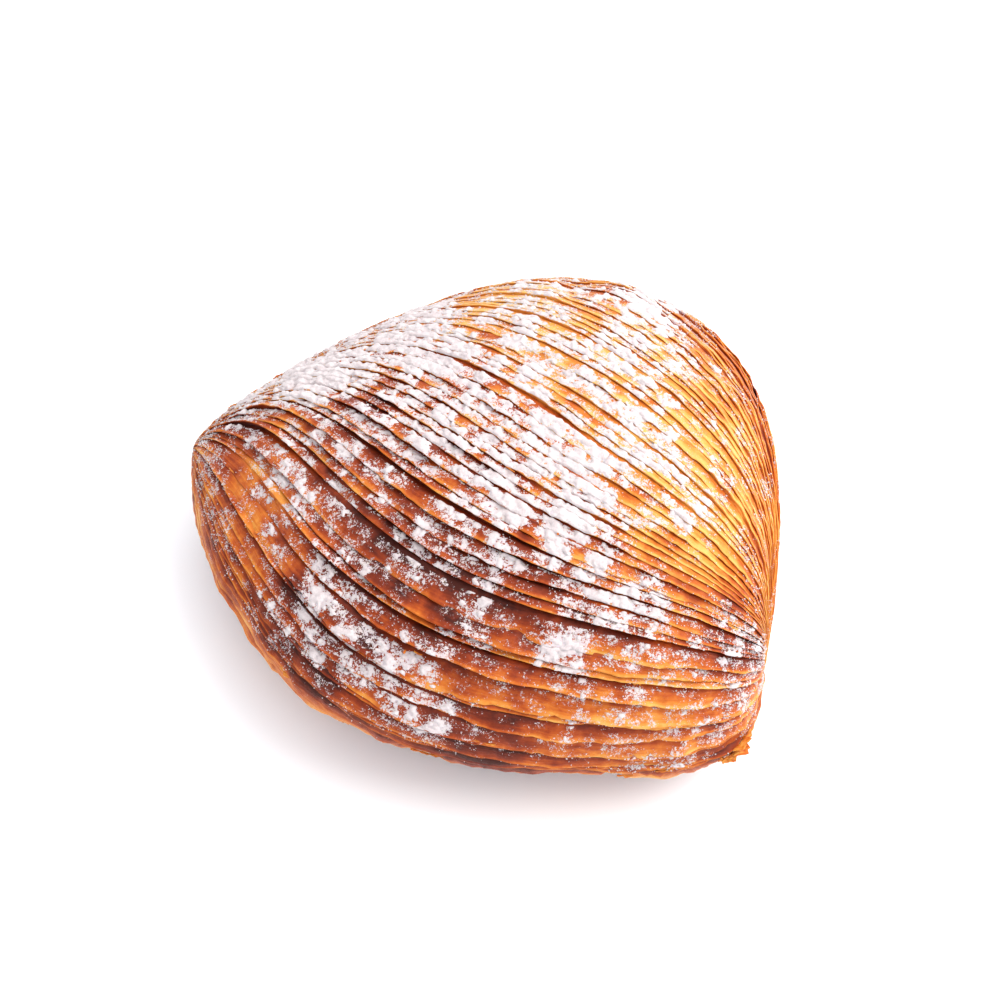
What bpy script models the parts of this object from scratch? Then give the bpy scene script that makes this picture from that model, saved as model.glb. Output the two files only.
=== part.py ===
"""Sfogliatella: one baked pastry, wound from thin leaves like a closed shell.

The leaves run from a gathered end on the left to a gathered end on the right, as the
meridians of a lemon do. Each leaf's free edge faces the front (-Y) and down, and its other
side is tucked under the leaf above. The pastry rests on the flat patch that it was baked on.
"""
from math import acos, atan2, copysign, cos, pi, radians, sin, tanh
from random import Random

import bmesh
import bpy

# Driving dimensions, in metres. X runs from one gathered end to the other.
HALF_LENGTH = 0.0552       # from the middle to a gathered end
FRONT_DEPTH = 0.0434       # from the axis to the fullest leaf in front
BACK_DEPTH = 0.0491        # from the axis to the fullest leaf behind
CROWN_HEIGHT = 0.0271      # from the axis to the highest leaf
AXIS_LEFT = 0.0188         # height of the left end over the tray
AXIS_RIGHT = 0.0203        # height of the right end over the tray
AXIS_BOW = 0.0054          # how far the axis arches up between the ends
BACK_BOW = 0.0050          # how far the axis arches back between the ends
BELLY_BELOW = 0.003        # how far the round belly was pressed flat by the tray

# How each outline swells between the ends: power of the sine, its change from right to left,
# and how much fuller the left half is than the right one (negative: the right is fuller).
FRONT_SWELL = (1.15, 0.38, 0.20)
BACK_SWELL = (0.90, 0.24, -0.61)
CROWN_SWELL = (0.52, 0.08, -0.53)
SECTION_POWER = 1.02       # 1 is a round section, more is a pinched one
SHEAR = -0.263             # the back leans towards the left end, the front to the right
BLEND = 0.35               # how softly the front outline turns into the back one

# How the leaves wind round the axis, in radians
TWIST = 0.48               # the whole winding, from the right end to the left
TWIST_FRONT = -0.18        # the part that differs from front to back
TWIST_ENDS = 0.10          # the part that is only near the ends
TWIST_MIDDLE = 0.40        # the lift of both ends against the middle

# Leaves: the angle round the section where a zone starts, and the leaf pitch in it, degrees
LEAF_ZONES = ((-40.0, 10.0), (15.0, 8.5), (80.0, 7.4), (115.0, 6.6), (200.0, 12.0), (225.0, 24.0))
PITCH_SPREAD = 0.22        # how uneven the pitches are
LIP_HEIGHT = 0.19          # how proud a free edge stands, as a part of its leaf's width
GROOVE_DEPTH = 0.26        # how deep the foot of a leaf lies, as a part of its width
LIP_PLACE = 0.13           # the lip's place across its leaf, 0 is the groove in front of it
CHEEK_PLACE = 0.62         # the middle row's place across its leaf
CHEEK_HEIGHT = 0.03        # the middle row's height, as a part of its leaf's width
WIDEST_RAISED = 8.5        # leaves of a wider pitch than this lift no more, degrees
WAVER = 0.13               # how far an edge wanders, as a part of the pitch
CLEAR_OF_TRAY = 0.004      # the leaf relief fades out over this height above the tray
STATIONS = 44              # rows of faces from one end to the other

CRUST_COLOUR = (0.51, 0.22, 0.065, 1.0)


def leaf_edges(rng):
    """The angle of each leaf's groove round the section, in radians, once round."""
    start = LEAF_ZONES[0][0]
    angle = start
    edges = []
    while angle < start + 360.0:
        edges.append(angle)
        pitch = [size for first, size in LEAF_ZONES if angle >= first][-1]
        angle += pitch * (1.0 + PITCH_SPREAD * rng.uniform(-1.0, 1.0))
    fit = 360.0 / (angle - start)
    return [radians(start + (edge - start) * fit) for edge in edges]


def swell(shape, along):
    """The outline's size at a station; along is the angle from the left end, 0 to pi."""
    power, change, fuller = shape
    side = cos(along)
    return sin(along) ** (power + change * side) * (1.0 + fuller * side)


def signed_power(value, power):
    """A power that keeps the sign."""
    return copysign(abs(value) ** power, value)


def smooth_point(along, wind):
    """The mean surface without leaves: the point, and the axis point that it stands off."""
    side = cos(along)
    turn = wind + TWIST * side + TWIST_FRONT * side * cos(wind)
    turn += TWIST_ENDS * side ** 3 + TWIST_MIDDLE * (side * side - 0.5)
    front = 0.5 + 0.5 * tanh(cos(turn) / BLEND)
    depth = front * FRONT_DEPTH * swell(FRONT_SWELL, along)
    depth += (1.0 - front) * BACK_DEPTH * swell(BACK_SWELL, along)
    axis_z = AXIS_LEFT * (0.5 + 0.5 * side) + AXIS_RIGHT * (0.5 - 0.5 * side)
    axis_z += AXIS_BOW * sin(along) ** 2
    if sin(turn) > 0.0:
        height = CROWN_HEIGHT * swell(CROWN_SWELL, along)
    else:
        height = (axis_z + BELLY_BELOW) * sin(along) ** 0.5
    across = -depth * signed_power(cos(turn), SECTION_POWER)
    rise = height * signed_power(sin(turn), SECTION_POWER)
    return across, rise, axis_z


def pastry_point(along, wind, relief):
    """A point of the leafy surface; relief is its height over the distance from the axis."""
    across, rise, axis_z = smooth_point(along, wind)
    fade = min(max((axis_z + rise) / CLEAR_OF_TRAY, 0.0), 1.0)
    grow = 1.0 + fade * relief
    y = across * grow + BACK_BOW * sin(along) ** 2
    z = max(axis_z + rise * grow, 0.0)
    x = -HALF_LENGTH * cos(along) + SHEAR * y
    return x, y, z


def make_pastry(collection):
    """The pastry as one closed solid, shaped from a sphere whose meridians are leaf rows."""
    rng = Random(11)
    edges = leaf_edges(rng)
    leaves = len(edges)
    phases = [rng.uniform(0.0, 2.0 * pi) for _ in edges]
    rows = (
        (0.0, -GROOVE_DEPTH),
        (LIP_PLACE, LIP_HEIGHT),
        (CHEEK_PLACE, CHEEK_HEIGHT),
    )

    def place(row, along):
        """A meridian's winding angle and relief where it passes a station."""
        leaf, part = divmod(row, len(rows))
        turns = [edges[leaf], edges[(leaf + 1) % leaves]]
        if turns[1] < turns[0]:
            turns[1] += 2.0 * pi
        pitch = turns[1] - turns[0]
        across, relief = rows[part]
        waver = WAVER * pitch * sin(3.0 * along + phases[leaf])
        lift = relief * min(pitch, radians(WIDEST_RAISED))
        return turns[0] + across * pitch + waver * (1.0 - across), lift

    bm = bmesh.new()
    meridians = leaves * len(rows)
    bmesh.ops.create_uvsphere(bm, u_segments=meridians, v_segments=STATIONS, radius=1.0)
    for vert in bm.verts:
        along = acos(max(-1.0, min(1.0, vert.co.z)))
        row = round(atan2(-vert.co.x, vert.co.y) / (2.0 * pi) * meridians) % meridians
        wind, relief = place(row, along)
        vert.co = pastry_point(along, wind, relief)
    bmesh.ops.triangulate(bm, faces=bm.faces, quad_method="FIXED")
    bmesh.ops.recalc_face_normals(bm, faces=bm.faces)

    # The origin is the middle of the base of the whole box.
    low = [min(vert.co[i] for vert in bm.verts) for i in range(3)]
    high = [max(vert.co[i] for vert in bm.verts) for i in range(3)]
    for vert in bm.verts:
        vert.co.x -= (low[0] + high[0]) / 2.0
        vert.co.y -= (low[1] + high[1]) / 2.0

    mesh = bpy.data.meshes.new("pastry")
    bm.to_mesh(mesh)
    bm.free()
    pastry = bpy.data.objects.new("pastry", mesh)
    collection.objects.link(pastry)
    return pastry


def make_material(name, colour, roughness):
    """A plain principled material."""
    material = bpy.data.materials.new(name)
    material.use_nodes = True
    shader = material.node_tree.nodes["Principled BSDF"]
    shader.inputs["Base Color"].default_value = colour
    shader.inputs["Roughness"].default_value = roughness
    return material


def main():
    """Clear the scene and build the pastry."""
    for item in list(bpy.data.objects):
        bpy.data.objects.remove(item)
    collection = bpy.data.collections.new("Sfogliatella")
    bpy.context.scene.collection.children.link(collection)
    pastry = make_pastry(collection)
    pastry.data.materials.append(make_material("baked_leaves", CRUST_COLOUR, 0.5))


main()
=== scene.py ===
# %% [markdown]
# # A sfogliatella under icing sugar
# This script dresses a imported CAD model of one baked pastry. The CAD model gives the size and
# the place, and everything visible is built here around it: the flaky leaves, the drifts and
# grains of sugar, a plain studio and a camera.

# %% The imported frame
import math

import bmesh
import bpy
import numpy as np
from mathutils import Matrix, Vector


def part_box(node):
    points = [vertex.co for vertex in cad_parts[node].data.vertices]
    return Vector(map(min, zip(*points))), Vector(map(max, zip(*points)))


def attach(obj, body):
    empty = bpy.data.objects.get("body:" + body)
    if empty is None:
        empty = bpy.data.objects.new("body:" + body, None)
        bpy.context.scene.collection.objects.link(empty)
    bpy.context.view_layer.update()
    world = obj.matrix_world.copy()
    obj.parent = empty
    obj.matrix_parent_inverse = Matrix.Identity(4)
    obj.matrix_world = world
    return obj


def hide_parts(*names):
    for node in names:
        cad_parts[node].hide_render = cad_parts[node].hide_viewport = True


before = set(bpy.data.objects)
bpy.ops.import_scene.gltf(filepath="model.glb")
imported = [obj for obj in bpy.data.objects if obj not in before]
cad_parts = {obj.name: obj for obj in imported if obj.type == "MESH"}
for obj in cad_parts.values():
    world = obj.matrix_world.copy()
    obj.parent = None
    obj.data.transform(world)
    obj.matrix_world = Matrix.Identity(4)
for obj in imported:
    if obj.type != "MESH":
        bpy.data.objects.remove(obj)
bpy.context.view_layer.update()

low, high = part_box("pastry")
LONG, DEEP, TALL = high - low
MIDDLE = (low + high) / 2.0
print(f"the pastry's box is {LONG * 1000:.0f} x {DEEP * 1000:.0f} x {TALL * 1000:.0f} mm")

# %% [markdown]
# ## Small tools
# Colours are written as sRGB hex values. Shaders work in linear light, so one function turns
# them. One more function adds a shader node: it takes the node's type, its settings and what
# is linked to it, so a material reads as a list of what it holds.

# %% Colour and node helpers
def linear(hex_colour, alpha=1.0):
    """An sRGB hex colour as linear RGBA."""
    parts = [int(hex_colour[i:i + 2], 16) / 255.0 for i in (1, 3, 5)]
    bent = [p / 12.92 if p <= 0.04045 else ((p + 0.055) / 1.055) ** 2.4 for p in parts]
    return (*bent, alpha)


def add_node(tree, kind, inputs=None, **settings):
    """A node with its settings; an input is a value, or a socket to link from."""
    node = tree.nodes.new(kind)
    for name, value in settings.items():
        setattr(node, name, value)
    for key, value in (inputs or {}).items():
        if isinstance(value, bpy.types.NodeSocket):
            tree.links.new(value, node.inputs[key])
        else:
            node.inputs[key].default_value = value
    return node


def colour_ramp(tree, factor, stops):
    """A colour ramp from (place, hex) pairs, and its colour output."""
    ramp = add_node(tree, "ShaderNodeValToRGB", {"Fac": factor})
    elements = ramp.color_ramp.elements
    while len(elements) < len(stops):
        elements.new(0.5)
    for element, (place, colour) in zip(elements, stops):
        element.position = place
        element.color = linear(colour)
    return ramp.outputs["Color"]


# %% [markdown]
# Noise makes food uneven. Blender's textures only work inside a shader, so the lumps that
# change the mesh come from a small lattice noise: a fixed random value at each corner of a
# grid, blended smoothly between the corners. It takes a whole array of points at once.

# %% Lattice noise
MM = 0.001


def corner_bits(corner, seed):
    """Thirty fixed random bits for each whole-numbered corner."""
    # The large odd numbers have no meaning: they only scramble the bits.
    mixed = corner[..., 0] * 73856093 ^ corner[..., 1] * 19349663 ^ corner[..., 2] * 83492791
    mixed = mixed ^ seed * 668265263
    mixed = (mixed ^ (mixed >> 13)) * 1274126177 & 0xFFFFFFFF
    mixed = (mixed ^ (mixed >> 15)) * 2246822519 & 0xFFFFFFFF
    return (mixed ^ (mixed >> 16)) & 0x3FFFFFFF


def corner_value(corner, seed):
    """A fixed value from -1 to 1 for each corner."""
    return (corner_bits(corner, seed) & 0xFFFF) / 32767.5 - 1.0


def lumps(points, size, seed):
    """Smooth noise from -1 to 1, with lumps of about the given size in metres."""
    place = points / size + 61.7
    corner = np.floor(place).astype(np.int64)
    part = place - corner
    part = part * part * (3.0 - 2.0 * part)
    total = np.zeros(points.shape[:-1])
    for step in np.ndindex(2, 2, 2):
        step = np.array(step)
        weight = np.prod(np.where(step == 1, part, 1.0 - part), axis=-1)
        total += weight * corner_value(corner + step, seed)
    return total


PUFF_REACH = 0.75          # a puff's radius, in cells of its grid
PUFF_MEAN = 0.55           # the mean height of puffs, to subtract where they should add nothing


def puffs(points, size, seed):
    """Round heaps from 0 to 1, one near each corner of a grid of the given size."""
    place = points / size + 31.3
    corner = np.floor(place).astype(np.int64)
    nearest = np.full(points.shape[:-1], 9.0)
    for step in np.ndindex(3, 3, 3):
        other = corner + np.array(step) - 1
        bits = corner_bits(other, seed)
        jitter = np.stack([bits & 1023, bits >> 10 & 1023, bits >> 20], axis=-1) / 1023.0
        nearest = np.minimum(nearest, np.sum((other + jitter - place) ** 2, axis=-1))
    return np.sqrt(np.clip(1.0 - nearest / PUFF_REACH ** 2, 0.0, 1.0))


def smooth_step(value, start, end):
    """0 before start, 1 after end, and a smooth change between them."""
    part = np.clip((value - start) / (end - start), 0.0, 1.0)
    return part * part * (3.0 - 2.0 * part)


# %% [markdown]
# ## The shell's form
# A sfogliatella riccia is wound from one long roll of thin dough. Its leaves run from one
# gathered end to the other like the meridians of a lemon. So the mean surface has two angles:
# `along` goes from the left end to the right one, and `wind` goes round the section, from the
# front over the crown to the back. Its sizes are shares of the CAD box.

# %% The mean surface
HALF_LENGTH = 0.4926 * LONG    # from the middle to a gathered end
FRONT_DEPTH = 0.4195 * DEEP    # from the axis to the fullest leaf in front
BACK_DEPTH = 0.4746 * DEEP     # from the axis to the fullest leaf behind
CROWN_HEIGHT = 0.4746 * TALL   # from the axis to the highest leaf
AXIS_LEFT = 0.329 * TALL       # the height of the left end over the tray
AXIS_RIGHT = 0.3555 * TALL     # the height of the right end over the tray
AXIS_BOW = 0.0946 * TALL       # how far the axis arches up between the ends
BACK_BOW = 0.0483 * DEEP       # how far the axis arches back between the ends
BELLY_BELOW = 0.053 * TALL     # how far the round belly was pressed flat by the tray
# Power of the sine, its change from right to left, and how much fuller the left half is
FRONT_SWELL = (1.15, 0.38, 0.20)
BACK_SWELL = (0.90, 0.24, -0.61)
CROWN_SWELL = (0.52, 0.08, -0.53)
SECTION_POWER = 1.02       # 1 is a round section, more is a pinched one
SHEAR = -0.263             # the back leans towards the left end, the front to the right
BLEND = 0.35               # how softly the front outline turns into the back one
# Winding of the leaves: overall, front against back, near the ends, and ends against middle
TWIST, TWIST_FRONT, TWIST_ENDS, TWIST_MIDDLE = 0.48, -0.18, 0.10, 0.40


def swell(shape, along):
    """The outline's size at a station."""
    power, change, fuller = shape
    side = np.cos(along)
    return np.sin(along) ** (power + change * side) * (1.0 + fuller * side)


def mean_surface(along, wind):
    """Points of the surface without its leaves."""
    side = np.cos(along)
    turn = wind + TWIST * side + TWIST_FRONT * side * np.cos(wind)
    turn = turn + TWIST_ENDS * side ** 3 + TWIST_MIDDLE * (side * side - 0.5)
    front = 0.5 + 0.5 * np.tanh(np.cos(turn) / BLEND)
    depth = front * FRONT_DEPTH * swell(FRONT_SWELL, along)
    depth = depth + (1.0 - front) * BACK_DEPTH * swell(BACK_SWELL, along)
    axis_z = AXIS_LEFT * (0.5 + 0.5 * side) + AXIS_RIGHT * (0.5 - 0.5 * side)
    axis_z = axis_z + AXIS_BOW * np.sin(along) ** 2
    above = CROWN_HEIGHT * swell(CROWN_SWELL, along)
    below = (axis_z + BELLY_BELOW) * np.sin(along) ** 0.5
    height = np.where(np.sin(turn) > 0.0, above, below)
    across = -depth * np.sign(np.cos(turn)) * np.abs(np.cos(turn)) ** SECTION_POWER
    rise = height * np.sign(np.sin(turn)) * np.abs(np.sin(turn)) ** SECTION_POWER
    y = across + BACK_BOW * np.sin(along) ** 2
    z = np.maximum(axis_z + rise, 0.0)
    x = -HALF_LENGTH * side + SHEAR * y
    return np.stack([x, y, z], axis=-1)


def outward(along, wind):
    """Unit normals of the mean surface."""
    step = 0.004  # radians
    along = np.clip(along, 2.0 * step, np.pi - 2.0 * step)
    go_along = mean_surface(along + step, wind) - mean_surface(along - step, wind)
    go_round = mean_surface(along, wind + step) - mean_surface(along, wind - step)
    normal = np.cross(go_along, go_round)
    return normal / np.maximum(np.linalg.norm(normal, axis=-1, keepdims=True), 1e-12)


# %% [markdown]
# ## Where the leaves lie
# The leaves are broad in front, where the shell opened in the oven, and fine over the back.
# The broad front leaves are placed one by one. The others come in fans: a short table gives
# each fan's mean pitch, and a seeded random generator makes its leaves uneven. Each leaf also
# gets a few random curves along its length, which say where its free edge wanders, lifts and
# chips, so no two leaves run parallel for long.

# %% The leaf plan
rng = np.random.default_rng(17)
# The angle round the section where each broad front leaf's lip lies, in degrees
FRONT_LEAVES = (
    -15.0, -3.0, 4.0, 9.0, 11.0, 18.5, 20.5, 27.0, 34.0, 35.5, 44.0, 51.5, 53.0, 59.5, 67.0, 69.5,
    73.5, 78.0, 82.5, 84.5, 89.0, 92.5, 96.0, 98.0,
)
# Angle round the section where each fan starts, where it ends, and mean pitch, in degrees
LEAF_FANS = (
    (-40.0, -15.0, 6.0), (101.0, 120.0, 3.1), (120.0, 176.0, 2.6), (176.0, 212.0, 3.8),
    (212.0, 240.0, 8.0), (240.0, 296.0, 16.0), (296.0, 320.0, 6.0),
)
PITCH_SPREAD = 0.38        # how uneven the pitches in a fan are


def fan(start, end, pitch):
    """Uneven angles from start up to end."""
    count = round((end - start) / pitch)
    gaps = 1.0 + PITCH_SPREAD * rng.uniform(-1.0, 1.0, count)
    return start + (end - start) * np.append(0.0, np.cumsum(gaps)[:-1]) / gaps.sum()


edges = np.radians(np.sort(np.concatenate([FRONT_LEAVES, *(fan(*row) for row in LEAF_FANS)])))
LEAVES = len(edges)
pitches = np.diff(np.append(edges, edges[0] + 2.0 * np.pi))
# A leaf's relief also leans on its neighbours' widths, so that one narrow leaf isn't a notch.
relief_pitches = 0.3 * np.roll(pitches, 1) + 0.5 * pitches + 0.2 * np.roll(pitches, -1)


def random_curves(*knots):
    """For each leaf, random values at a few numbers of knots along its length."""
    return [rng.uniform(-1.0, 1.0, (LEAVES, count)) for count in knots]


def follow(curves, weights, leaf, along):
    """The weighted sum of a leaf's random curves at some stations."""
    total = 0.0
    for values, weight in zip(curves, weights):
        at = np.clip(along / np.pi, 0.0, 1.0) * (values.shape[1] - 1)
        left = np.minimum(at.astype(int), values.shape[1] - 2)
        part = smooth_step(at - left, 0.0, 1.0)
        row = values[leaf % LEAVES]
        total = total + weight * (row[left] * (1.0 - part) + row[left + 1] * part)
    return total


edge_wander = random_curves(7, 24, 90, 240)
edge_lift = random_curves(9, 34, 120)
edge_chips = random_curves(70, 200)
root_wander = random_curves(8, 20)
edge_thickness = random_curves(24, 90)
print(f"{LEAVES} leaves, the widest pitch {np.degrees(pitches.max()):.1f} degrees")

# %% [markdown]
# ## The shape of one leaf
# A leaf is a thin shingle. Its free edge, the lip, stands off the shell and faces the front.
# From there its upper side slopes in, and disappears under the next leaf's lip down to that
# leaf's root. Underneath the lip there is a real gap, which holds the dark shadow that makes
# the leaves read. A shader bump can't cast that shadow, so the gap is modelled.
#
# Where a leaf opens wide, bakes shut on its neighbour or swells is written as soft spots over
# the two angles: a place, a reach each way and an amount.

# %% Soft spots
# Each spot is (along, wind, reach along, reach round, amount), with the angles in degrees.
# How far the leaves stand open there, or are baked shut if negative, in parts of the usual rise
OPEN_SPOTS = (
    (44.0, 48.0, 14.0, 15.0, -2.0), (30.0, 108.0, 12.0, 26.0, 0.9), (138.0, 34.0, 24.0, 30.0, 1.1),
    (66.0, 66.0, 14.0, 9.0, -0.7), (100.0, 112.0, 24.0, 16.0, -0.35), (164.0, 60.0, 9.0, 40.0, 0.5),
    (78.0, 30.0, 18.0, 14.0, -0.35), (112.0, 158.0, 20.0, 12.0, -0.5),
    (64.0, -15.0, 16.0, 5.0, -1.0), (104.0, -4.0, 24.0, 5.0, -1.0), (100.0, -29.0, 50.0, 9.0, -1.6),
)
# How far the leaves are shut where a broad heap of sugar bridges them, over the crown
BRIDGED_SPOTS = ((92.0, 118.0, 36.0, 40.0, 2.0), (119.0, 166.0, 12.0, 16.0, 0.8))
# How far the shell swells, in millimetres
SWELLS = (
    (93.0, 156.0, 7.0, 9.0, 0.9), (111.0, 166.0, 7.0, 10.0, 1.1), (101.0, 161.0, 3.0, 9.0, -0.5),
    (62.0, -22.0, 8.0, 9.0, 0.8), (118.0, -15.0, 20.0, 7.0, -0.3), (158.0, 4.0, 6.0, 8.0, 0.8),
    (84.0, -16.0, 6.0, 9.0, -0.9), (46.0, -14.0, 5.0, 9.0, -0.6), (128.0, 60.0, 12.0, 10.0, 0.5),
    (60.0, 84.0, 16.0, 9.0, 0.5),
)


def spots_at(spots, along, wind):
    """The sum of soft spots at angles given in radians."""
    along_deg, wind_deg = np.degrees(along), np.degrees(wind)
    total = 0.0
    for at, around, reach_along, reach_round, amount in spots:
        away = ((along_deg - at) / reach_along) ** 2 + ((wind_deg - around) / reach_round) ** 2
        total = total + amount * np.exp(-away)
    return total


# %% Lip, root and the surface between them
TUCK = 0.30                # a leaf's root lies this part of its pitch behind its lip
LIP_RISE = 0.15            # the lip's height over the mean surface, as a part of the width
ROOT_DROP = 0.30           # the root's depth under it, as a part of the width
FRONT_RELIEF = 1.35        # how deep the relief of the broad front leaves is
LOW_RELIEF = 0.1           # how much deeper it is low in front
CROWN_RELIEF = 0.58        # how deep it is over the crown and back
LIP_THICKNESS = 0.42 * MM  # several sheets of dough baked together
CROWN_RAGGED = 3.5         # how much more the fine lips over the crown are broken
CHIP_DEPTH = 0.25          # how far a chip goes into a leaf, as a part of its pitch
CHIPS_FROM = 0.5           # a lip is chipped only where its chips' curve is above this
FULL_WIDTH = 4.5 * MM      # a leaf of this width has relief in plain proportion to it
THIN_POWER = 0.78          # below 1: narrow leaves keep more of their relief
HEAP_SIZE, HEAP_SEED = 9.0 * MM, 31    # the lumps that the broad heaps of sugar follow
ASIDE = 0.02               # a small step of winding, in radians, to measure widths with
LIFT_LIMITS = (-1.3, 2.6)  # a lip sinks and rises no further, in parts of its usual rise
DROP_LEAST = 0.75          # a root lies at least this part of its usual depth under


def relief_width(leaf, along):
    """The width that a leaf's relief follows, in metres, at some stations."""
    edge = edges[leaf % LEAVES]
    point = mean_surface(along, np.full_like(along, edge))
    aside = mean_surface(along, np.full_like(along, edge) + ASIDE)
    width = np.linalg.norm(aside - point, axis=-1) / ASIDE * relief_pitches[leaf % LEAVES]
    over_crown = smooth_step(np.degrees(edge), 75.0, 125.0)
    low_in_front = smooth_step(np.degrees(edge), 12.0, -12.0)
    depth = FRONT_RELIEF + (CROWN_RELIEF - FRONT_RELIEF) * over_crown + LOW_RELIEF * low_in_front
    return depth * FULL_WIDTH * (width / FULL_WIDTH) ** THIN_POWER


def lip_place(leaf, along):
    """The lip's winding angle and its height over the mean surface."""
    turns = 2.0 * np.pi * (leaf // LEAVES)
    ragged = 1.0 + CROWN_RAGGED * smooth_step(np.degrees(edges[leaf % LEAVES]), 60.0, 110.0)
    wander = (0.24, 0.06 + 0.02 * (ragged - 1.0), 0.02 * ragged, 0.012 * ragged)
    drift = follow(edge_wander, wander, leaf, along)
    chips = np.maximum(follow(edge_chips, (0.5, 0.5), leaf, along) - CHIPS_FROM, 0.0)
    drift = drift + CHIP_DEPTH * chips
    wind = edges[leaf % LEAVES] + turns + pitches[leaf % LEAVES] * drift
    lift = 1.0 + follow(edge_lift, (0.80, 0.70, 0.35 * math.sqrt(ragged)), leaf, along)
    lift = lift + spots_at(OPEN_SPOTS, along, wind)
    heaps = smooth_step(lumps(mean_surface(along, wind), HEAP_SIZE, HEAP_SEED), -0.1, 0.3)
    lift = lift - heaps * spots_at(BRIDGED_SPOTS, along, wind)
    return wind, LIP_RISE * np.clip(lift, *LIFT_LIMITS) * relief_width(leaf, along)


def root_place(leaf, along):
    """The root's winding angle and its height over the mean surface."""
    turns = 2.0 * np.pi * (leaf // LEAVES)
    wind = edges[leaf % LEAVES] + turns + pitches[leaf % LEAVES] * TUCK
    drop = np.maximum(1.0 + follow(root_wander, (0.25, 0.15), leaf, along), DROP_LEAST)
    return np.full_like(along, wind), -ROOT_DROP * drop * relief_width(leaf, along)


PRESSED_UP_TO = 5.0 * MM   # below this height the tray flattened the leaves


def place_points(along, wind, height):
    """Points at a height over the mean surface; leaves lie flat where the tray pressed them."""
    base = mean_surface(along, wind)
    clear = smooth_step(base[..., 2], 0.0, PRESSED_UP_TO)
    # Broad bulges of the whole shell, then small ones of single leaves.
    swollen = 0.5 * MM * lumps(base, 17.0 * MM, 3) + 0.14 * MM * lumps(base, 5.0 * MM, 4)
    swollen = swollen + MM * spots_at(SWELLS, along, wind)
    lifted = base + outward(along, wind) * ((height + swollen) * clear)[..., None]
    lifted[..., 2] = np.maximum(lifted[..., 2], 0.0)
    return lifted


def upper_side(leaf, along, part):
    """A leaf's upper side, from its lip (part 0) to the next leaf's root (part 1)."""
    lip_wind, lip_height = lip_place(leaf, along)
    root_wind, root_height = root_place(leaf + 1, along)
    wind = lip_wind + (root_wind - lip_wind) * part
    # It slopes gently at first, and drops steeply once it is under the next lip.
    fall = 0.40 * part ** 0.7 + 0.60 * part ** 4
    height = lip_height + (root_height - lip_height) * fall
    return place_points(along, wind, height)


def under_side(leaf, along, part):
    """A leaf's underside, from its root (part 0) to just under its lip (part 1)."""
    lip_wind, lip_height = lip_place(leaf, along)
    root_wind, root_height = root_place(leaf, along)
    thick = LIP_THICKNESS * (1.0 + follow(edge_thickness, (0.45, 0.3), leaf, along))
    # A lip that hardly stands off its root is thin too, so the leaf never turns inside out.
    thick = np.minimum(thick, 0.35 * (lip_height - root_height))
    wind = root_wind + (lip_wind - root_wind) * part
    height = root_height + (lip_height - thick - root_height) * part
    return place_points(along, wind, height)


# %% [markdown]
# ## Sewing the leaves into one crust
# The whole crust is one closed skin: for each leaf the rows run out along the underside,
# round the lip and back along the upper side, and then the next leaf begins. Rows are closer
# near the lip, because that is where the light catches. The ends close with a small fan.
# Each point also stores what the finish needs to know, such as how far it is from its lip.

# %% The crust mesh
STATIONS = 210
# Places of the rows across a leaf's two sides, for wide leaves and for fine ones
WIDE_UPPER = (0.012, 0.05, 0.13, 0.24, 0.36, 0.48, 0.59, 0.69, 0.80, 0.91)
WIDE_UNDER = (0.0, 0.35, 0.70, 0.95)
FINE_UPPER = (0.015, 0.10, 0.32, 0.56, 0.80)
FINE_UNDER = (0.0, 0.95)
FINE_BELOW = math.radians(4.0)     # leaves of a narrower pitch are fine ones
FLAT_BELOW = math.radians(235.0)   # from here on round the section the tray is under them
END_GAP = 0.003            # the ends' fans start at this angle from the ends
END_CROWDING = 0.55        # above 0 the stations stand closer near the ends
even = np.linspace(0.0, 1.0, STATIONS)
crowded = even - END_CROWDING * np.sin(2.0 * np.pi * even) / (2.0 * np.pi)
stations = END_GAP + (np.pi - 2.0 * END_GAP) * crowded


def crust_rows():
    """Rows of points once round, with each row's leaf and its distance from the lip, 0 to 1."""
    rows, owners, inward = [], [], []
    for leaf in range(LEAVES):
        fine = pitches[leaf] < FINE_BELOW or edges[leaf] > FLAT_BELOW
        under, upper = (FINE_UNDER, FINE_UPPER) if fine else (WIDE_UNDER, WIDE_UPPER)
        for part in under:
            rows.append(under_side(leaf, stations, part))
            owners.append(leaf)
            inward.append(1.0 - 0.5 * part)
        # The row round the lip stands a little out, so the lip is rounded.
        top = upper_side(leaf, stations, 0.0)
        rows.append(0.5 * (top + rows[-1]) + 0.12 * (top - upper_side(leaf, stations, 0.15)))
        rows[-1][:, 2] = np.maximum(rows[-1][:, 2], 0.0)
        owners.append(leaf)
        inward.append(0.0)
        for part in upper:
            rows.append(upper_side(leaf, stations, part))
            owners.append(leaf)
            inward.append(part)
    return np.array(rows), np.array(owners), np.array(inward)


def grid_faces(rows, columns, closed):
    """Quads of a grid with its rows joined into a ring if closed."""
    last = rows if closed else rows - 1
    row, column = np.meshgrid(np.arange(last), np.arange(columns - 1), indexing="ij")
    after = (row + 1) % rows
    corners = (row, column), (row, column + 1), (after, column + 1), (after, column)
    return np.stack([(r * columns + c).ravel() for r, c in corners], axis=-1)


def new_mesh(name, points, faces):
    """A smooth-shaded mesh object from arrays."""
    mesh = bpy.data.meshes.new(name)
    mesh.from_pydata(points.tolist(), [], faces if isinstance(faces, list) else faces.tolist())
    mesh.update()
    mesh.shade_smooth()
    made = bpy.data.objects.new(name, mesh)
    bpy.context.scene.collection.objects.link(made)
    return made


def store(item, name, values, kind="FLOAT"):
    """A named value for each point of a mesh, which a material can read."""
    slot = "vector" if kind == "FLOAT_VECTOR" else "value"
    attribute = item.data.attributes.new(name, kind, "POINT")
    attribute.data.foreach_set(slot, np.ascontiguousarray(values, dtype=np.float32).ravel())


rows, owners, inward = crust_rows()
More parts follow.
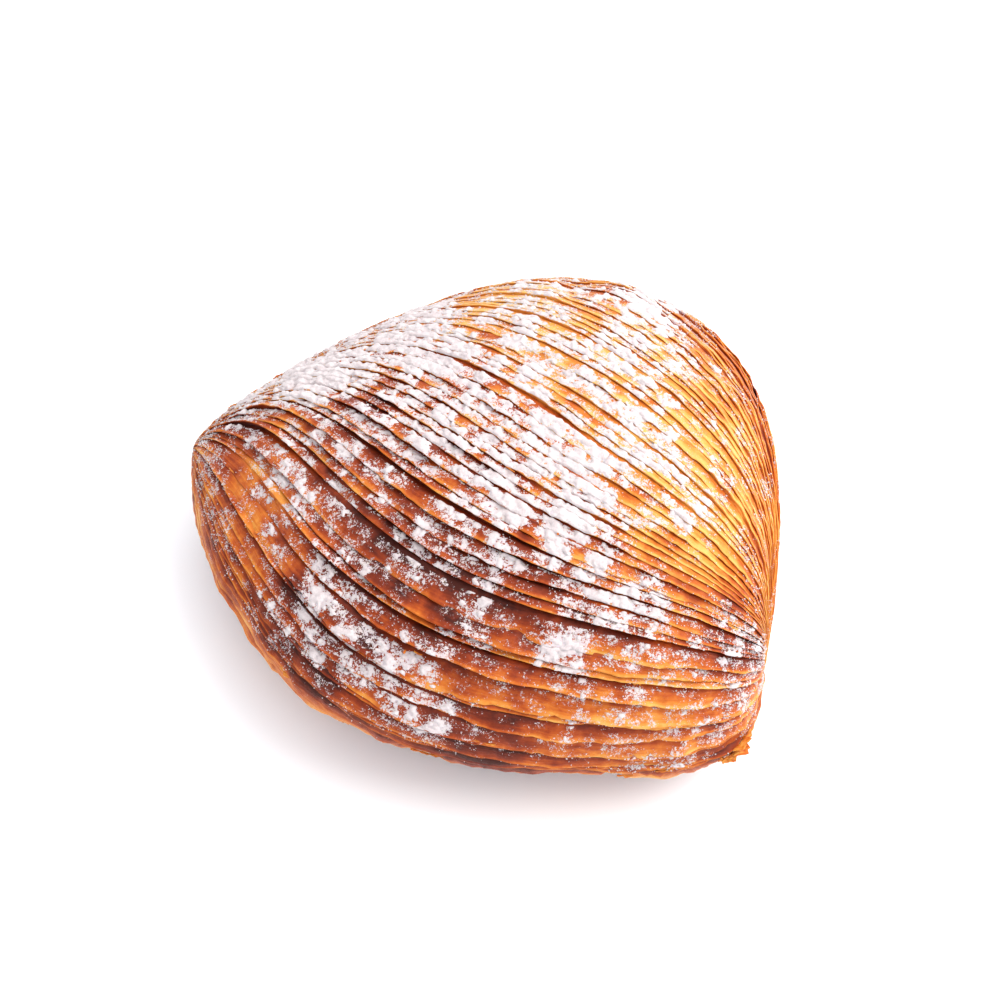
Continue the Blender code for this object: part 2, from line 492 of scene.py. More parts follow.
# Everything moves by one shift, so that the crust stands over the middle of the CAD box.
SHIFT = np.array([MIDDLE.x, MIDDLE.y, 0.0])
SHIFT[:2] -= (rows.reshape(-1, 3).min(0) + rows.reshape(-1, 3).max(0))[:2] / 2.0
row_count = len(rows)
crust_points = rows.reshape(-1, 3) + SHIFT
crust_faces = grid_faces(row_count, STATIONS, closed=True).tolist()
for column, tip in ((0, 0), (STATIONS - 1, 1)):
    ring = [r * STATIONS + column for r in range(row_count)]
    centre = len(crust_points)
    crust_points = np.vstack([crust_points, crust_points[ring].mean(0)])
    for a, b in zip(ring, ring[1:] + ring[:1]):
        crust_faces.append((a, b, centre) if tip else (b, a, centre))
crust = new_mesh("crust_leaves", crust_points, crust_faces)
crust_low, crust_high = crust_points.min(0), crust_points.max(0)
print(f"crust: {row_count} rows, {len(crust_faces)} faces,",
      "size", np.round((crust_high - crust_low) / MM, 1), "mm")

# %% [markdown]
# ## Where it browned and where the sugar fell
# An oven browns what is near its wall, and butter keeps some leaves golden. Here the right
# side and the back are golden, and the middle of the front is a dark mahogany. The sugar was
# shaken over the crown, with a second, thinner band low in front. Both are written as a few
# soft spots over the two angles, in degrees, plus noise, because that is how they happened.

# %% Browning and sugar cover
# How much darker the bake is, or paler if negative
BROWN_SPOTS = (
    (90.0, 60.0, 32.0, 26.0, 0.14), (62.0, 20.0, 22.0, 20.0, 0.16), (100.0, 8.0, 24.0, 24.0, 0.20),
    # The small spot at 103, 82 is painted shade: a hole in the crust drawn as a dark colour.
    (62.0, 90.0, 22.0, 22.0, 0.02), (103.0, 82.0, 4.0, 4.0, 0.30), (90.0, 66.0, 12.0, 8.0, 0.12),
    (128.0, 44.0, 20.0, 24.0, -0.12), (50.0, 52.0, 16.0, 12.0, -0.08),
    (20.0, 40.0, 14.0, 40.0, -0.03), (40.0, 100.0, 18.0, 22.0, -0.26),
    (112.0, -12.0, 26.0, 6.0, -0.30), (78.0, 140.0, 16.0, 16.0, -0.10),
    (132.0, 126.0, 30.0, 40.0, -0.24), (100.0, 150.0, 44.0, 30.0, -0.20),
    (62.0, 36.0, 3.5, 3.0, 0.50), (77.0, 37.0, 3.5, 2.5, 0.50), (152.0, 4.0, 14.0, 12.0, 0.12),
)
# How much more of the crust the sugar covers
SUGAR_SPOTS = (
    (85.0, 105.0, 38.0, 32.0, 0.66), (118.0, 88.0, 12.0, 20.0, 0.28),
    (100.0, 148.0, 28.0, 22.0, 0.28), (119.0, 168.0, 9.0, 20.0, 0.52),
    (134.0, 120.0, 6.0, 8.0, 0.38), (48.0, 100.0, 16.0, 22.0, 0.62), (30.0, 76.0, 10.0, 14.0, 0.14),
    (60.0, 64.0, 10.0, 12.0, 0.20), (74.0, 33.0, 11.0, 9.0, 0.28), (90.0, 20.0, 8.0, 13.0, 0.30),
    (60.0, 35.0, 8.0, 10.0, 0.16), (166.0, 76.0, 9.0, 22.0, 0.38), (150.0, 84.0, 10.0, 18.0, 0.20),
    (136.0, 38.0, 10.0, 22.0, 0.18), (113.0, 57.0, 4.0, 5.0, 0.50), (89.0, 59.0, 6.0, 5.0, -0.12),
    (103.0, 82.0, 3.0, 3.0, -0.50),
)


USUAL_BROWN = 0.55         # how dark the bake is where no spot changes it
# The crust is darker near the floor: partly painted shade on the underside, partly the tray's
# browning.
FLOOR_SHADE_AND_BROWN = 0.26          # how much darker it is right on the tray
THIN_SHARE = 0.06          # the share of the crust that is dusted where no spot changes it


def browning(along, wind, points):
    """How dark the bake is, from 0, pale gold, to 1, nearly burnt."""
    patchy = 0.13 * lumps(points, 13.0 * MM, 21) + 0.10 * lumps(points, 4.5 * MM, 22)
    # Painted shade and the tray's browning darken the crust from 9 mm up down to the floor.
    shade_and_brown_near_floor = FLOOR_SHADE_AND_BROWN * smooth_step(points[..., 2], 9.0 * MM, 1.0 * MM)
    brown = USUAL_BROWN + spots_at(BROWN_SPOTS, along, wind) + patchy + shade_and_brown_near_floor
    return np.clip(brown, 0.0, 1.0)


def sugar_level(along, wind, points, up):
    """How far the sugar stands over the bare crust: above 0 it shows, and 2 is a thick heap.

    The soft spots say what share of the crust is covered, and up is the normal's z. The share
    moves the level by its log-odds, so noise decides where just that share of the crust lies.
    """
    settled = smooth_step(up, 0.0, 0.55)
    share = (THIN_SHARE + 1.05 * spots_at(SUGAR_SPOTS, along, wind)) * settled
    share = np.clip(share, 0.003, 0.97)
    heaps = 1.9 * (puffs(points, 4.2 * MM, 32) - PUFF_MEAN)
    pinches = 1.5 * (puffs(points, 2.3 * MM, 33) - PUFF_MEAN)
    clumps = 1.1 * lumps(points, HEAP_SIZE, HEAP_SEED) + heaps
    clumps += pinches + 0.9 * lumps(points, 1.1 * MM, 34)
    return clumps + 0.65 * np.log(share / (1.0 - share))


def crust_winds():
    """The winding angle of every row and station of the crust."""
    winds = []
    for leaf in range(LEAVES):
        size = int((owners == leaf).sum())
        winds.append(np.repeat(lip_place(leaf, stations)[0][None, :], size, axis=0))
    return np.concatenate(winds) + inward[:, None] * pitches[owners][:, None]


BARE = -3.5                # this level of sugar is none at all
UNDER_NEXT_LIP = 0.75      # sugar falls no deeper between the leaves than this
winds = crust_winds()
along_grid = np.broadcast_to(stations, winds.shape)
crust_brown = browning(along_grid, winds, rows)
normals = np.zeros(len(crust_points) * 3, dtype=np.float32)
crust.data.vertices.foreach_get("normal", normals)
up = normals.reshape(-1, 3)[:rows.shape[0] * STATIONS, 2].reshape(winds.shape)
crust_dust = np.clip(sugar_level(along_grid, winds, rows, up), BARE, 3.0)
crust_dust = np.where(inward[:, None] < UNDER_NEXT_LIP, crust_dust, BARE)
# Where a leaf baked shut there is no lip and no fold, so it gets neither the painted highlight of a
# lip nor the painted shade under one.
SHUT_INWARD = 0.30
shut = smooth_step(-spots_at(OPEN_SPOTS, along_grid, winds), 0.4, 1.4)
leaf_tint = rng.uniform(-1.0, 1.0, LEAVES)[owners][:, None] + 0.0 * winds
# Each leaf's own map runs along it and across it, and is shifted from its neighbour's.
leaf_map = np.stack([
    -HALF_LENGTH * np.cos(along_grid), winds * 0.04, owners[:, None] * 0.013 + 0.0 * winds,
], axis=-1)


def with_tips(values, tip):
    """Values of the grid with the two end points' values after them."""
    return np.append(values.ravel(), [tip, tip])


store(crust, "brown", with_tips(crust_brown, 0.6))
# Over the crown the folds are shallow, so less of each leaf lies in the painted shade under the
# next lip.
lip_highlight_and_shade = inward[:, None] * (1.0 - 0.35 * smooth_step(np.degrees(winds), 75.0, 125.0))
# This value drives the painted highlight on each lip and the painted shade under it. The two end
# points take 0.8, a spot of painted shade where the leaves gather.
store(crust, "inward", with_tips(lip_highlight_and_shade + (SHUT_INWARD - lip_highlight_and_shade) * shut, 0.8))
store(crust, "dust", with_tips(crust_dust, BARE))
store(crust, "leaf_tint", with_tips(leaf_tint, 0.0))
store(crust, "leaf_map", np.vstack([leaf_map.reshape(-1, 3), np.zeros((2, 3))]), "FLOAT_VECTOR")
print(f"mean browning {crust_brown.mean():.2f},",
      f"sugared {(crust_dust > 0.0).mean():.2f} of the crust")

# %% [markdown]
# ## Baked laminated dough
# Dough browned with lard or butter. It has no pigment but its own sugars, so it runs through
# straw, gold, orange-brown and mahogany as it bakes. The fat leaves a satin glaze, thin lips
# let light through, and blisters and the edges of single sheets make it rough at a
# millimetre's scale. One ramp carries the browning, so every shade is one the oven can make.
# The same ramp also carries a painted shade under each lip and a painted highlight on the lip.

# %% The crust's finish
BAKE_STOPS = (
    (0.0, "#DBA457"), (0.18, "#CE8738"), (0.34, "#BE6822"), (0.50, "#A54915"),
    (0.67, "#822F0E"), (0.83, "#65210C"), (0.95, "#511808"), (1.0, "#3E1106"),
)


def size_scale(size):
    """A noise texture's scale for features of that size in metres."""
    return 1.0 / size


def bake_dough():
    """The material of the crust."""
    material = bpy.data.materials.new("baked_laminated_dough")
    material.use_nodes = True
    tree = material.node_tree
    shader = tree.nodes["Principled BSDF"]
    read = {
        name: add_node(tree, "ShaderNodeAttribute", attribute_name=name).outputs
        for name in ("brown", "inward", "dust", "leaf_tint", "leaf_map")
    }
    spot = add_node(tree, "ShaderNodeTexCoord").outputs["Object"]

    # Single sheets show as fine lines that run along the leaf.
    stretched = add_node(tree, "ShaderNodeMapping", {
        "Vector": read["leaf_map"]["Vector"], "Scale": (150.0, 1500.0, 1500.0)})
    sheets = add_node(tree, "ShaderNodeTexNoise", {
        "Vector": stretched.outputs[0], "Scale": 1.0, "Detail": 3.0, "Roughness": 0.6})
    blisters = add_node(tree, "ShaderNodeTexNoise", {
        "Vector": spot, "Scale": size_scale(1.3 * MM), "Detail": 5.0, "Roughness": 0.6})
    patches = add_node(tree, "ShaderNodeTexNoise", {
        "Vector": spot, "Scale": size_scale(5.0 * MM), "Detail": 4.0, "Roughness": 0.55})

    def calculate(kind, *values):
        return add_node(tree, "ShaderNodeMath", dict(enumerate(values)), operation=kind).outputs[0]

    brown = calculate("MULTIPLY_ADD", patches.outputs["Fac"], 0.80, read["brown"]["Fac"])
    brown = calculate("MULTIPLY_ADD", blisters.outputs["Fac"], 0.36, brown)
    brown = calculate("MULTIPLY_ADD", sheets.outputs["Fac"], 0.50, brown)
    brown = calculate("MULTIPLY_ADD", read["leaf_tint"]["Fac"], 0.09, brown)
    # Noise is about 0.5 on average, so this takes off half of the three weights.
    brown = calculate("SUBTRACT", brown, 0.83)
    # Painted shade darkens the dough under the next lip, and a painted highlight makes the lip
    # itself pale.
    painted_lip_shade = add_node(tree, "ShaderNodeMapRange", {
        "Value": read["inward"]["Fac"], "From Min": 0.25, "From Max": 0.85,
        "To Min": 0.0, "To Max": 0.24}, interpolation_type="SMOOTHSTEP")
    brown = calculate("ADD", brown, painted_lip_shade.outputs["Result"])
    painted_lip_highlight = add_node(tree, "ShaderNodeMapRange", {
        "Value": read["inward"]["Fac"], "From Min": 0.0, "From Max": 0.30,
        "To Min": 0.26, "To Max": 0.0}, interpolation_type="SMOOTHSTEP")
    brown = calculate("SUBTRACT", brown, painted_lip_highlight.outputs["Result"])
    # Besides the browning, brown now holds the painted shade under each lip and the painted
    # highlight on it.
    dough = colour_ramp(tree, brown, BAKE_STOPS)

    # Single grains of icing sugar, too small to model, lie as specks of half a millimetre and
    # less, and a thin film of dust veils the crust round each heap.
    specks = add_node(tree, "ShaderNodeTexNoise", {
        "Vector": spot, "Scale": size_scale(0.60 * MM), "Detail": 3.0, "Roughness": 0.9})
    centred = calculate("SUBTRACT", specks.outputs["Fac"], 0.5)
    level = calculate("MULTIPLY_ADD", centred, 10.0, read["dust"]["Fac"])
    grains = add_node(tree, "ShaderNodeMapRange", {
        "Value": level, "From Min": 0.0, "From Max": 0.12, "To Min": 0.0, "To Max": 0.96},
        interpolation_type="SMOOTHSTEP").outputs["Result"]
    film = add_node(tree, "ShaderNodeMapRange", {
        "Value": level, "From Min": -1.2, "From Max": 0.4, "To Min": 0.0, "To Max": 0.10},
        interpolation_type="SMOOTHSTEP").outputs["Result"]
    powder = calculate("MAXIMUM", grains, film)
    surface = add_node(tree, "ShaderNodeMix", {
        "Factor": powder, "A": dough, "B": linear("#CABEBE")}, data_type="RGBA")
    surface_colour = [o for o in surface.outputs if o.type == "RGBA"][0]
    tree.links.new(surface_colour, shader.inputs["Base Color"])

    # The fat's satin glaze breaks up over the blisters, and powder has no gloss at all.
    gloss = add_node(tree, "ShaderNodeMapRange", {
        "Value": blisters.outputs["Fac"], "From Min": 0.3, "From Max": 0.7,
        "To Min": 0.36, "To Max": 0.58}).outputs["Result"]
    rough = add_node(tree, "ShaderNodeMix", {"Factor": powder, "A": gloss, "B": 0.9},
                     data_type="FLOAT")
    tree.links.new(rough.outputs[0], shader.inputs["Roughness"])
    # The edges of single sheets, blisters and specks stand out where light rakes over them.
    relief = calculate("MULTIPLY_ADD", sheets.outputs["Fac"], 0.8, blisters.outputs["Fac"])
    relief = calculate("MULTIPLY_ADD", powder, 0.5, relief)
    bump = add_node(tree, "ShaderNodeBump", {
        "Height": relief, "Strength": 0.6, "Distance": 0.35 * MM})
    tree.links.new(bump.outputs[0], shader.inputs["Normal"])
    shader.inputs["IOR"].default_value = 1.45
    shader.inputs["Specular IOR Level"].default_value = 0.20
    # Thin lips let some light through, far more of the red than of the blue.
    shader.inputs["Subsurface Weight"].default_value = 0.22
    shader.inputs["Subsurface Radius"].default_value = (1.0, 0.36, 0.10)
    shader.inputs["Subsurface Scale"].default_value = 1.3 * MM
    return material


crust.data.materials.append(bake_dough())
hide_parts("pastry")
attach(crust, "root")

# %% [markdown]
# ## Loose flakes and crumbs
# Where the leaves gather at the front right corner, the outermost sheets burst and curled up,
# and a few dry flakes stand on other lips. Each flake is a small grid, bent along its width as
# a drying sheet bends, and seated on the crust. A Solidify modifier gives it one sheet's
# thickness. The crumbs that broke off are lumpy grains, stamped from one low round mesh.

# %% Flakes
FLAKE_COLUMNS, FLAKE_ROWS = 9, 5
# How many flakes, then where they stand: along and wind, from and to, in degrees; their
# length and width, from and to, in mm; and how far they lean out, in degrees
FLAKE_BEDS = (
    (11, (154.0, 166.0), (-10.0, 8.0), (2.5, 5.5), (0.9, 2.2), (5.0, 50.0)),
    (12, (60.0, 150.0), (-14.0, 22.0), (2.0, 5.0), (0.4, 0.9), (5.0, 30.0)),
    (20, (20.0, 160.0), (30.0, 120.0), (1.5, 3.5), (0.3, 0.7), (5.0, 30.0)),
)


def crust_frame(along, wind):
    """A point of the crust and three unit directions there: along, down the front, outward."""
    def at(step_along, step_wind):
        return place_points(np.array(along + step_along), np.array(wind + step_wind), 0.0)

    lengthwise = at(0.01, 0.0) - at(-0.01, 0.0)
    downhill = at(0.0, -0.01) - at(0.0, 0.01)
    out = np.cross(downhill, lengthwise)
    return at(0.0, 0.0), *(way / np.linalg.norm(way) for way in (lengthwise, downhill, out))


def flake(along, wind, length, width, lean):
    """The grid of points of one curled flake."""
    seat, lengthwise, downhill, out = crust_frame(along, wind)
    sideways = np.linspace(-0.5, 0.5, FLAKE_COLUMNS)
    reach = np.linspace(0.0, 1.0, FLAKE_ROWS)
    bend = np.radians(lean) + rng.uniform(0.3, 1.3) * reach
    forward = np.cumsum(np.cos(bend)) / FLAKE_ROWS * width
    upward = np.cumsum(np.sin(bend)) / FLAKE_ROWS * width
    ragged = 1.0 - 0.5 * np.abs(sideways) * 2.0 + rng.uniform(-0.3, 0.3, FLAKE_COLUMNS)
    wave = 0.12 * width * np.sin(sideways * rng.uniform(5.0, 12.0) + rng.uniform(0.0, 6.0))
    points = seat + 0.2 * MM * out + lengthwise * (sideways[None, :, None] * length)
    points = points + downhill * (forward[:, None] * ragged)[..., None]
    return points + out * (upward[:, None] * ragged + wave * reach[:, None])[..., None]


flake_points, flake_faces = [], []
flake_grid = grid_faces(FLAKE_ROWS, FLAKE_COLUMNS, closed=False)
for count, *ranges in FLAKE_BEDS:
    for _ in range(count):
        along, wind, length, width, lean = (rng.uniform(*pair) for pair in ranges)
        nearest = edges[np.abs(edges - math.radians(wind)).argmin()]
        flake_faces.append(flake_grid + len(flake_points) * FLAKE_ROWS * FLAKE_COLUMNS)
        flake_points.append(flake(math.radians(along), nearest, length * MM, width * MM, lean))
flake_points = np.array(flake_points).reshape(-1, 3) + SHIFT
flake_points[:, 2] = np.maximum(flake_points[:, 2], 0.3 * MM)
flakes = new_mesh("loose_flakes", flake_points, np.concatenate(flake_faces))
thickness = flakes.modifiers.new("one sheet", "SOLIDIFY")
thickness.thickness = 0.16 * MM
print(f"flakes: {sum(row[0] for row in FLAKE_BEDS)}")

# %% Crumbs
CRUMBS = 24
CORNER_CRUMBS = 10         # the first ones lie at the burst corner
CRUMB_SIZE = (0.25, 0.60)  # radius in mm
bm = bmesh.new()
bmesh.ops.create_icosphere(bm, subdivisions=2, radius=1.0)
crumb_shape = np.array([vert.co for vert in bm.verts])
crumb_grid = np.array([[vert.index for vert in face.verts] for face in bm.faces])
bm.free()
crumb_points = []
for crumb in range(CRUMBS):
    near_corner = crumb < CORNER_CRUMBS
    along = rng.uniform(154.0, 168.0) if near_corner else rng.uniform(40.0, 150.0)
    wind = rng.uniform(-8.0, 12.0) if near_corner else rng.uniform(10.0, 140.0)
    seat, *_, out = crust_frame(math.radians(along), math.radians(wind))
    radius = MM * rng.uniform(*CRUMB_SIZE) * (1.0 if near_corner else 0.6)
    lumpy = 1.0 + 0.45 * lumps(crumb_shape + 7.0 * crumb, 0.8, 51)
    squashed = crumb_shape * lumpy[:, None] * rng.uniform(0.6, 1.2, 3)
    crumb_points.append(seat + SHIFT + out * 0.8 * radius + squashed * radius)
crumb_faces = [crumb_grid + index * len(crumb_shape) for index in range(CRUMBS)]
crumbs = new_mesh("crust_crumbs", np.concatenate(crumb_points), np.concatenate(crumb_faces))
HARDLY_DUSTED = -2.2       # a level of sugar that leaves only a few specks
# They store no inward value, which reads as 0, so each flake and crumb takes the full painted
# highlight of a lip.
for piece, browned in ((flakes, 0.56), (crumbs, 0.62)):
    points = len(piece.data.vertices)
    store(piece, "brown", browned + rng.uniform(-0.15, 0.15, points))
    store(piece, "dust", np.full(points, HARDLY_DUSTED))
    piece.data.materials.append(crust.data.materials[0])
    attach(piece, "root")
print(f"crumbs: {CRUMBS}")

# %% [markdown]
# ## Sugar drifts
# Icing sugar falls through a sieve in clumps. It lies in soft heaps on whatever faces up, and
# slides off what is steep. A drift is a thin skin over the leaves: a fine grid copies each
# leaf's open side, noise at several sizes lifts it where the sugar is thick, and cells that
# no sugar reaches are left out. The skin's rim dips into the crust, so no edge is seen.

# %% The drift grid
CELL = 0.27 * MM
DRIFT_HEIGHT = 0.25 * MM
DRIFT_FROM = 0.60          # thinner sugar than this level is left to the crust's finish
OPEN_SIDE = 0.74           # the next lip hides what lies deeper than this
SUGARED_LEAVES = (-12.0, 205.0)    # only leaves between these angles, in degrees, hold drifts
LEAF_LENGTH = 1.22 * LONG          # along the bow of a leaf over the crown
drift_stations = np.linspace(0.10, np.pi - 0.07, int(LEAF_LENGTH / CELL))


def leaf_grid(leaf):
    """A fine grid over a leaf's open side: points, normals, winding angles and row places."""
    count = int(pitches[leaf] * (FRONT_DEPTH + 4.0 * MM) / CELL) + 3
    parts = np.linspace(0.0, OPEN_SIDE, count)
    points = np.array([upper_side(leaf, drift_stations, part) for part in parts])
    go_along = np.gradient(points, axis=1)
    go_in = np.gradient(points, axis=0)
    normals = np.cross(go_along, go_in)
    normals /= np.maximum(np.linalg.norm(normals, axis=-1, keepdims=True), 1e-12)
    lip = lip_place(leaf, drift_stations)[0]
    return points, normals, lip + parts[:, None] * pitches[leaf] / OPEN_SIDE, parts


drift_points, drift_faces, seats = [], [], []
drift_count = 0
for leaf in range(LEAVES):
    if not SUGARED_LEAVES[0] < math.degrees(edges[leaf]) < SUGARED_LEAVES[1]:
        continue
    points, normals, wind, parts = leaf_grid(leaf)
    along = np.broadcast_to(drift_stations, wind.shape)
    level = sugar_level(along, wind, points, normals[..., 2])
    seats.append((points, normals, level))
    level = level - DRIFT_FROM + 1.3 * lumps(points, 0.6 * MM, 35)
    # No sugar on a drift's first and last row, so that its skin ends inside the crust.
    level[[0, -1]] = -1.0
    fluffy = 0.65 + 0.65 * puffs(points, 2.4 * MM, 41) + 0.28 * puffs(points, 1.0 * MM, 42)
    fluffy += 0.42 * lumps(points, 0.5 * MM, 43)
    height = DRIFT_HEIGHT * np.clip(level, 0.0, 3.0) ** 0.6 * fluffy
    shown = level > 0.0
    height = np.where(shown, height + 0.03 * MM, -0.08 * MM)
    cells = shown[:-1, :-1] | shown[1:, :-1] | shown[:-1, 1:] | shown[1:, 1:]
    faces = grid_faces(len(parts), len(drift_stations), closed=False)[cells.ravel()]
    used, renumbered = np.unique(faces, return_inverse=True)
    lifted = (points + normals * height[..., None]).reshape(-1, 3)[used]
    drift_points.append(lifted)
    drift_faces.append(renumbered.reshape(-1, 4) + drift_count)
    drift_count += len(used)
drift_points = np.concatenate(drift_points) + SHIFT
drift_faces = np.concatenate(drift_faces)
drifts = new_mesh("sugar_drifts", drift_points, drift_faces)
print(f"drifts: {len(drift_faces)} cells, {2 * len(drift_faces)} triangles")

# %% [markdown]
# ## Loose grains and crumbs of sugar
# Around each drift the sugar breaks up into specks. Each one is a small crystal cluster, here
# an eight-sided grain with uneven corners. One numpy array holds them all: a place is drawn for
# each, with a chance that follows the cover, and one grain is stamped and turned there.

# %% The grains
GRAINS = 20000
GRAIN_RADIUS = (0.06 * MM, 0.19 * MM)
OCTAHEDRON = np.array([(1, 0, 0), (-1, 0, 0), (0, 1, 0), (0, -1, 0), (0, 0, 1), (0, 0, -1)], float)
OCTA_FACES = np.array([
    (0, 2, 4), (2, 1, 4), (1, 3, 4), (3, 0, 4), (2, 0, 5), (1, 2, 5), (3, 1, 5), (0, 3, 5)])

seat_points = np.concatenate([s[0].reshape(-1, 3) for s in seats])
seat_normals = np.concatenate([s[1].reshape(-1, 3) for s in seats])
seat_level = np.concatenate([s[2].ravel() for s in seats])
# Most grains lie round a drift and hardly any under it; a few lie anywhere.
near_drift = smooth_step(seat_level, -2.4, 0.0) ** 2 * (seat_level < 0.4)
chance = 0.012 * (seat_level > -3.2) + near_drift
chance /= chance.sum()
picked = rng.choice(len(seat_points), GRAINS, p=chance)
sizes = GRAIN_RADIUS[0] + (GRAIN_RADIUS[1] - GRAIN_RADIUS[0]) * rng.random(GRAINS) ** 2.2
centres = seat_points[picked] + SHIFT + seat_normals[picked] * (0.45 * sizes)[:, None]
centres += rng.uniform(-0.5, 0.5, (GRAINS, 3)) * CELL
corners = OCTAHEDRON[None] * rng.uniform(0.65, 1.25, (GRAINS, 6, 1))
turns = np.linalg.qr(rng.normal(size=(GRAINS, 3, 3)))[0]
corners = np.einsum("gij,gkj->gki", turns, corners) * sizes[:, None, None]
grain_points = (centres[:, None, :] + corners).reshape(-1, 3)
grain_faces = (OCTA_FACES[None] + 6 * np.arange(GRAINS)[:, None, None]).reshape(-1, 3)
# A turn that mirrors a grain also turns its faces inside out, so their corners are reversed.
flipped = np.linalg.det(turns) < 0.0
grain_faces = grain_faces.reshape(GRAINS, 8, 3)
grain_faces[flipped] = grain_faces[flipped][:, :, ::-1]
grains = new_mesh("sugar_grains", grain_points, grain_faces.reshape(-1, 3))
print(f"grains: {GRAINS}, {8 * GRAINS} triangles")

# %% [markdown]
# ## Icing sugar
# Sucrose milled to a powder with a little starch. Light scatters many times between the
# grains, so it is a bright, slightly warm white with soft shadows inside, and it has no gloss.

# %% The sugar's finish
def mill_sugar():
    """The material of the drifts and grains."""
    material = bpy.data.materials.new("milled_icing_sugar")
    material.use_nodes = True
    tree = material.node_tree
    shader = tree.nodes["Principled BSDF"]
    spot = add_node(tree, "ShaderNodeTexCoord").outputs["Object"]
    powder = add_node(tree, "ShaderNodeTexNoise", {
        "Vector": spot, "Scale": size_scale(0.35 * MM), "Detail": 3.0, "Roughness": 0.7})
    damp = add_node(tree, "ShaderNodeTexNoise", {
        "Vector": spot, "Scale": size_scale(2.2 * MM), "Detail": 3.0})
    mixed = add_node(tree, "ShaderNodeMath", {
        0: powder.outputs["Fac"], 1: damp.outputs["Fac"]}, operation="ADD")
    halved = add_node(tree, "ShaderNodeMath", {0: mixed.outputs[0], 1: 0.5}, operation="MULTIPLY")
    # Where the powder took up a little damp it is a touch darker.
    shade = colour_ramp(tree, halved.outputs[0], (
        (0.30, "#B2A5A6"), (0.46, "#C2B6B6"), (0.62, "#D1C8C7")))
    tree.links.new(shade, shader.inputs["Base Color"])
    rough = add_node(tree, "ShaderNodeMapRange", {
        "Value": powder.outputs["Fac"], "To Min": 0.8, "To Max": 1.0})
    tree.links.new(rough.outputs["Result"], shader.inputs["Roughness"])
    bump = add_node(tree, "ShaderNodeBump", {
        "Height": powder.outputs["Fac"], "Strength": 0.6, "Distance": 0.15 * MM})
    tree.links.new(bump.outputs[0], shader.inputs["Normal"])
    # Light wanders between the grains, so the shadows inside a heap stay soft.
    shader.inputs["Subsurface Weight"].default_value = 0.45
    shader.inputs["Subsurface Radius"].default_value = (1.0, 0.9, 0.85)
    shader.inputs["Subsurface Scale"].default_value = 0.7 * MM
    shader.inputs["Specular IOR Level"].default_value = 0.25
    return material


sugar = mill_sugar()
for piece in (drifts, grains):
    piece.data.materials.append(sugar)
    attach(piece, "root")

# %% [markdown]
# ## The studio
# The pastry stands on a plain pale floor. A white world that is brighter above and to the
# right lights it softly, as a studio with one white wall does. One large soft lamp on that
# side draws the leaves and leaves a faint shadow on the left. A weak one fills the front.

# %% Floor and light
floor_mesh = bpy.data.meshes.new("floor")
bm = bmesh.new()
bmesh.ops.create_grid(bm, x_segments=1, y_segments=1, size=3.0)
bm.to_mesh(floor_mesh)
bm.free()
floor = bpy.data.objects.new("floor", floor_mesh)
bpy.context.scene.collection.objects.link(floor)
floor_paper = bpy.data.materials.new("white_paper")
floor_paper.use_nodes = True
floor_shader = floor_paper.node_tree.nodes["Principled BSDF"]
paper_grain = add_node(floor_paper.node_tree, "ShaderNodeTexNoise", {"Scale": 40.0, "Detail": 2.0})
tone = colour_ramp(floor_paper.node_tree, paper_grain.outputs["Fac"], (
    (0.0, "#F7F9FB"), (1.0, "#FAFCFD")))
floor_paper.node_tree.links.new(tone, floor_shader.inputs["Base Color"])
floor_shader.inputs["Roughness"].default_value = 0.95
floor_shader.inputs["Specular IOR Level"].default_value = 0.1
floor.data.materials.append(floor_paper)

CAMERA_TURN = math.radians(24.9)
CAMERA_LIFT = math.radians(56.0)
to_right = Vector((math.cos(CAMERA_TURN), math.sin(CAMERA_TURN), 0.0))
to_back = Vector((-math.sin(CAMERA_TURN), math.cos(CAMERA_TURN), 0.0))


def soft_lamp(name, direction, distance, size, power, tint):
    """A square soft lamp that looks at the pastry from a direction."""
    light = bpy.data.lights.new(name, "AREA")
    light.shape = "SQUARE"
    light.size = size
    light.energy = power
    light.color = tint
    lamp = bpy.data.objects.new(name, light)
    lamp.location = Vector((0.0, 0.0, 0.03)) + direction.normalized() * distance
    lamp.rotation_euler = direction.to_track_quat("Z", "Y").to_euler()
    bpy.context.scene.collection.objects.link(lamp)
    return lamp


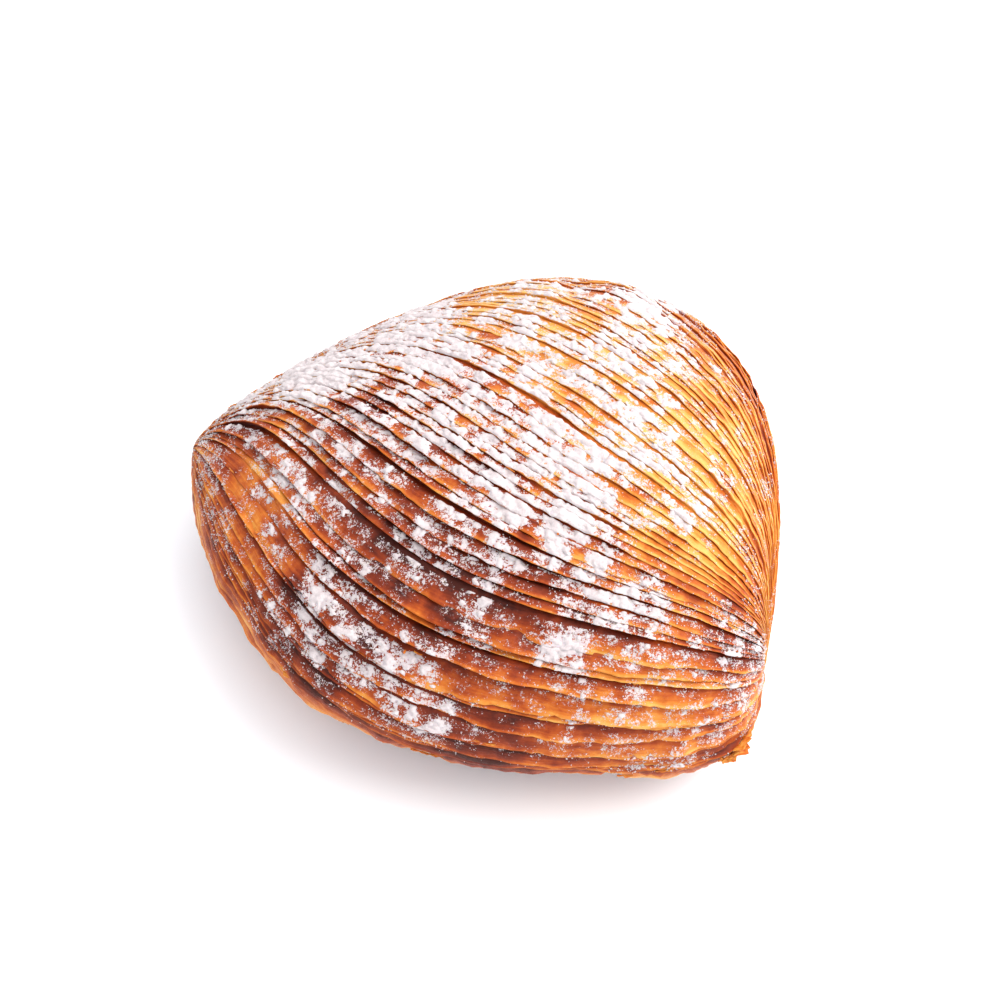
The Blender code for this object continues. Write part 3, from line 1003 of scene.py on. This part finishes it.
# Distances and sizes in metres, powers in watts
soft_lamp("window_light", to_right * 0.80 - to_back * 0.05 + Vector((0, 0, 1.15)),
          distance=0.9, size=0.70, power=7.5, tint=(1.0, 0.985, 0.96))
soft_lamp("front_fill", to_right * 0.2 - to_back * 1.0 + Vector((0, 0, 0.9)),
          distance=1.1, size=0.8, power=1.0, tint=(1.0, 0.99, 0.98))
world = bpy.data.worlds.new("studio")
world.use_nodes = True
sky = world.node_tree
sky.nodes["Background"].inputs["Color"].default_value = linear("#F9FBFF")
way = add_node(sky, "ShaderNodeTexCoord").outputs["Generated"]
brightest = to_right * 0.58 + to_back * 0.10 + Vector((0.0, 0.0, 0.80))
facing = add_node(sky, "ShaderNodeVectorMath", {0: way, 1: brightest}, operation="DOT_PRODUCT")
glow = add_node(sky, "ShaderNodeMapRange", {
    "Value": facing.outputs["Value"], "From Min": -1.0, "From Max": 1.0,
    "To Min": 0.30, "To Max": 1.85})
sky.links.new(glow.outputs["Result"], sky.nodes["Background"].inputs["Strength"])
bpy.context.scene.world = world
bpy.context.scene.view_settings.view_transform = "Standard"

# %% [markdown]
# ## The camera
# A short telephoto lens looks down on the crown from the front right. Its aim is a point near
# the pastry's middle, so the pastry fills a little under two thirds of the picture's width.

# %% Camera
CAMERA_FAR = 0.546
camera_data = bpy.data.cameras.new("camera")
camera_data.lens = 111.9
camera_data.sensor_width = 36.0
camera_data.clip_start = 0.01
camera = bpy.data.objects.new("camera", camera_data)
bpy.context.scene.collection.objects.link(camera)
view_up = to_back * math.sin(CAMERA_LIFT) + Vector((0.0, 0.0, math.cos(CAMERA_LIFT)))
away = -to_back * math.cos(CAMERA_LIFT) + Vector((0.0, 0.0, math.sin(CAMERA_LIFT)))
AIM = Vector((-0.0007, -0.0110, 0.0189))
aim = AIM + to_right * 0.0050 + view_up * 0.0118
facing_aim = away.to_track_quat("Z", "Y").to_matrix().to_4x4()
camera.matrix_world = Matrix.Translation(aim + away * CAMERA_FAR) @ facing_aim
bpy.context.scene.camera = camera
